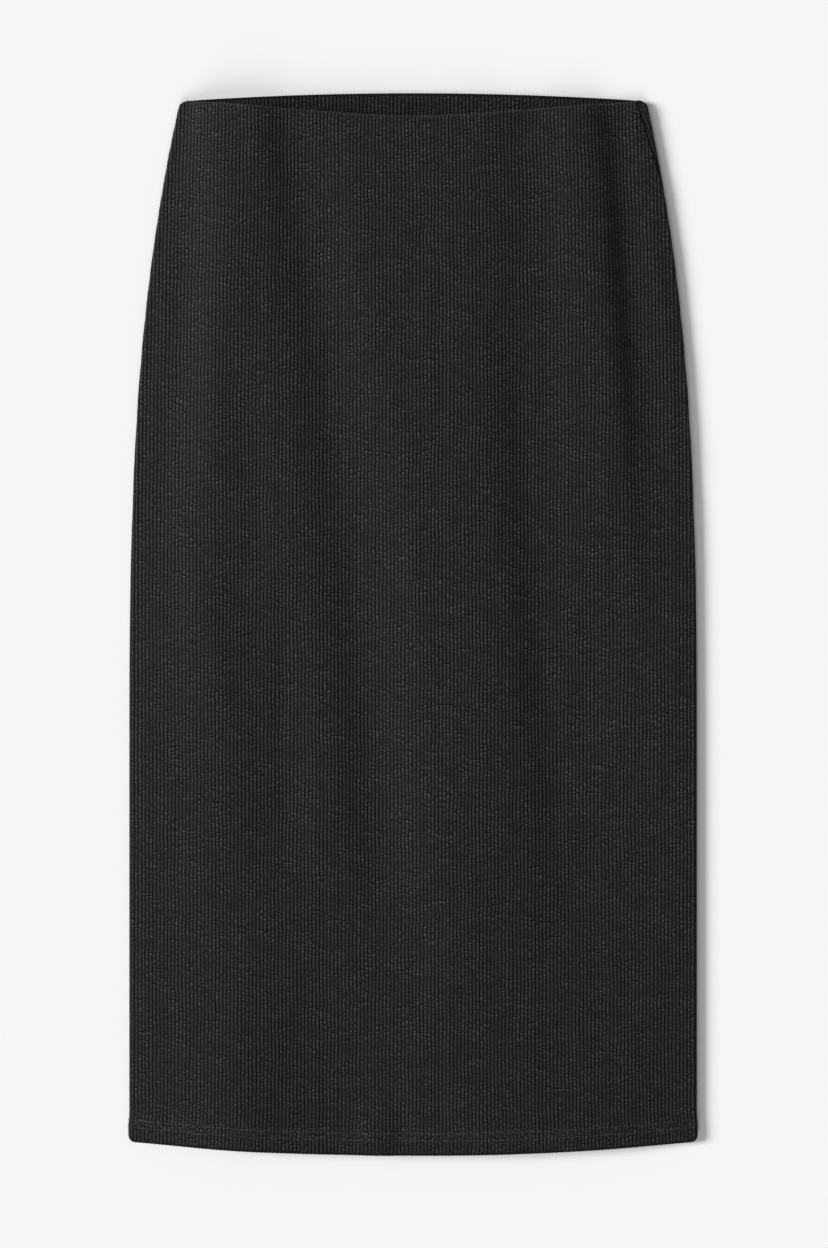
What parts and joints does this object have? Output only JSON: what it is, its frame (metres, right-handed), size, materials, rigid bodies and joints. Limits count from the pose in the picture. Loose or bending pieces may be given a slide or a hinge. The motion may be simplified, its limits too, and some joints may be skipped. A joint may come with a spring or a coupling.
{
  "type": "midi skirt",
  "caption": "Straight midi skirt in fine rib jersey, laid flat with its front up, with a covered elastic waist and a hem turned up and stitched.",
  "frame": {"origin": "centre of the footprint, on the surface the skirt lies on", "axes": "+X to the right as one looks at the front, +Y up the skirt to the waist, +Z out of the surface, the way the front faces"},
  "size_m": [0.4266, 0.7955, 0.0172],
  "materials": {
    "front_panel_jersey": "matt dark charcoal rib jersey",
    "back_panel_jersey": "matt dark charcoal rib jersey",
    "front_waist_casing_jersey": "matt dark charcoal rib jersey",
    "back_waist_casing_jersey": "matt dark charcoal rib jersey, turned in",
    "front_hem_turn_up_jersey": "matt dark charcoal rib jersey",
    "back_hem_turn_up_jersey": "matt dark charcoal rib jersey, turned in"
  },
  "bodies": {
    "root": {"front_panel": "front_panel_jersey", "back_panel": "back_panel_jersey", "front_waist_casing": "front_waist_casing_jersey", "back_waist_casing": "back_waist_casing_jersey", "front_hem_turn_up": "front_hem_turn_up_jersey", "back_hem_turn_up": "back_hem_turn_up_jersey"}
  },
  "joints": []
}
